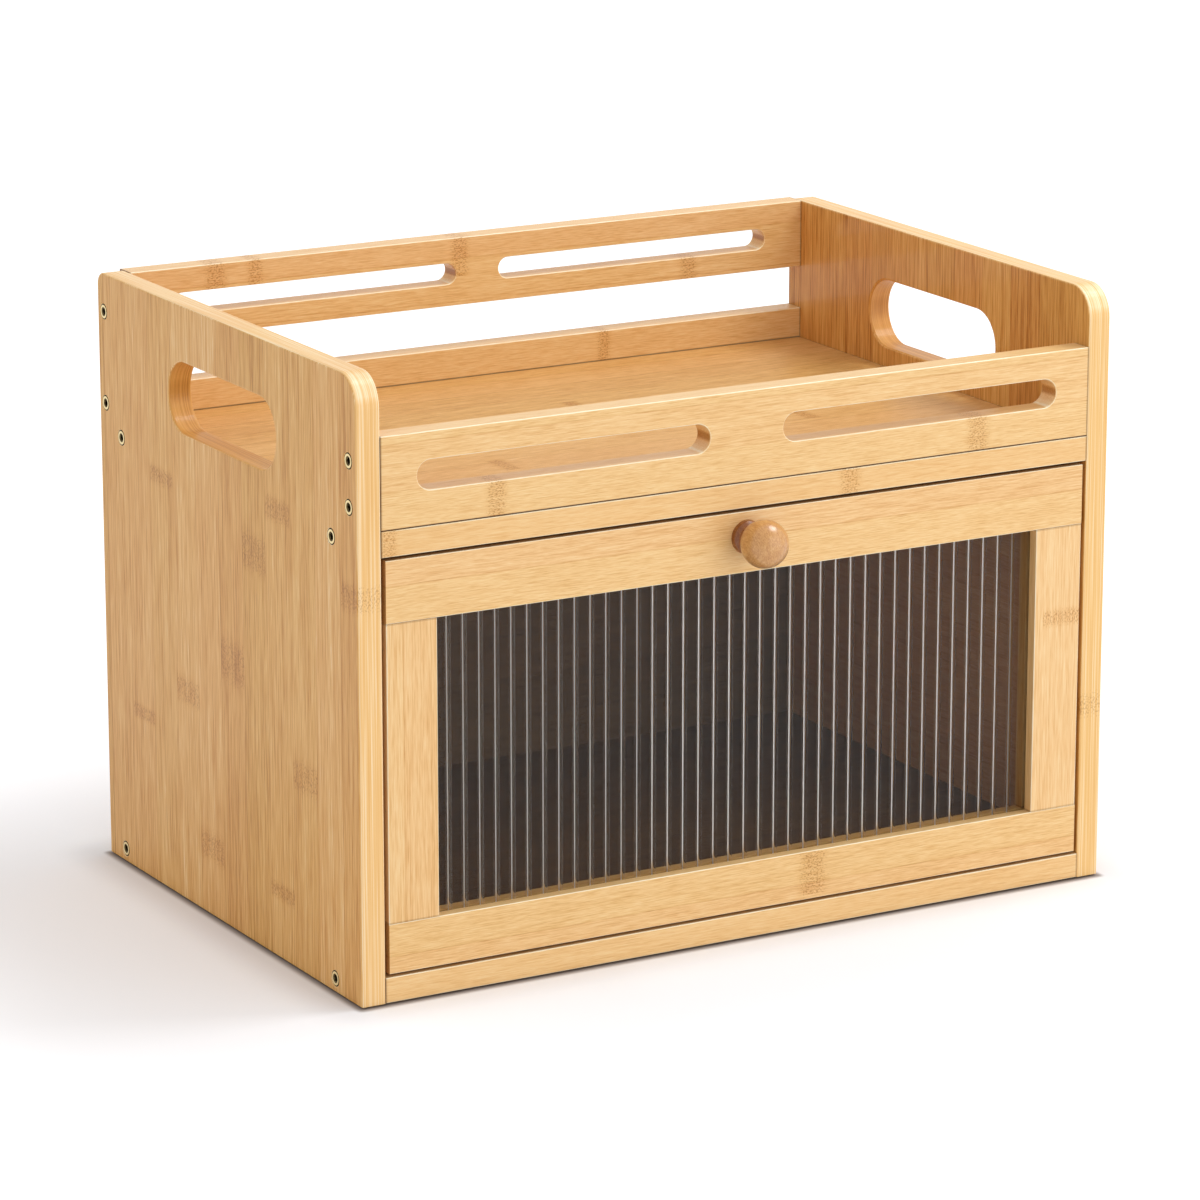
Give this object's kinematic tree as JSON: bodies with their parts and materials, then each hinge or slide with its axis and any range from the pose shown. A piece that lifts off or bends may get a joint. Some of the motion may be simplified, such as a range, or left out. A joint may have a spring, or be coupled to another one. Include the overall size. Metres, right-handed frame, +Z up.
{
  "type": "bread box with drawer",
  "caption": "Laminated bamboo bread box: an open gallery tray with hand holes on top, and below it a full-width drawer with a ribbed clear window and a ball knob.",
  "frame": {"origin": "centre of the underside, which stands on the worktop", "axes": "+X to the right for someone facing the drawer, -Y the way the drawer opens, +Z up"},
  "size_m": [0.4, 0.2972, 0.29],
  "materials": {
    "bamboo_side": "laminated bamboo with upright grain, satin lacquer",
    "bamboo_board": "laminated bamboo with grain along the width, satin lacquer",
    "bamboo_frame": "solid bamboo frame of the drawer front, satin lacquer",
    "bamboo_box": "bamboo drawer box, thin lacquer",
    "back_board": "thin bamboo plywood, thin lacquer",
    "turned_knob": "turned bamboo, gloss lacquer",
    "hardwood_dowel": "beech, unfinished",
    "clear_acrylic": "clear extruded acrylic with raised ribs",
    "antique_brass": "antique brass plating, worn bright on the rims",
    "zinc_steel": "zinc plated"
  },
  "bodies": {
    "case": {"left_side_panel": "bamboo_side", "right_side_panel": "bamboo_side", "base_panel": "bamboo_board", "shelf_panel": "bamboo_board", "front_gallery_rail": "bamboo_board", "upper_back_rail": "bamboo_board", "lower_back_rail": "bamboo_board", "back_panel": "back_board", "left_side_screws": "antique_brass", "right_side_screws": "antique_brass", "upper_rail_dowels": "hardwood_dowel"},
    "drawer": {"drawer_top_rail": "bamboo_frame", "drawer_bottom_rail": "bamboo_frame", "drawer_left_stile": "bamboo_frame", "drawer_right_stile": "bamboo_frame", "window_pane": "clear_acrylic", "frame_dowels": "hardwood_dowel", "drawer_left_side": "bamboo_box", "drawer_right_side": "bamboo_box", "drawer_back": "bamboo_box", "drawer_bottom": "bamboo_box", "drawer_side_dowels": "hardwood_dowel", "drawer_back_screws": "zinc_steel", "knob": "turned_knob", "knob_screw": "zinc_steel"}
  },
  "joints": [
    {"name": "drawer_slide", "type": "slide", "parent": "case", "child": "drawer", "axis": [0, -1, 0], "range_m": [0, 0.17]}
  ]
}
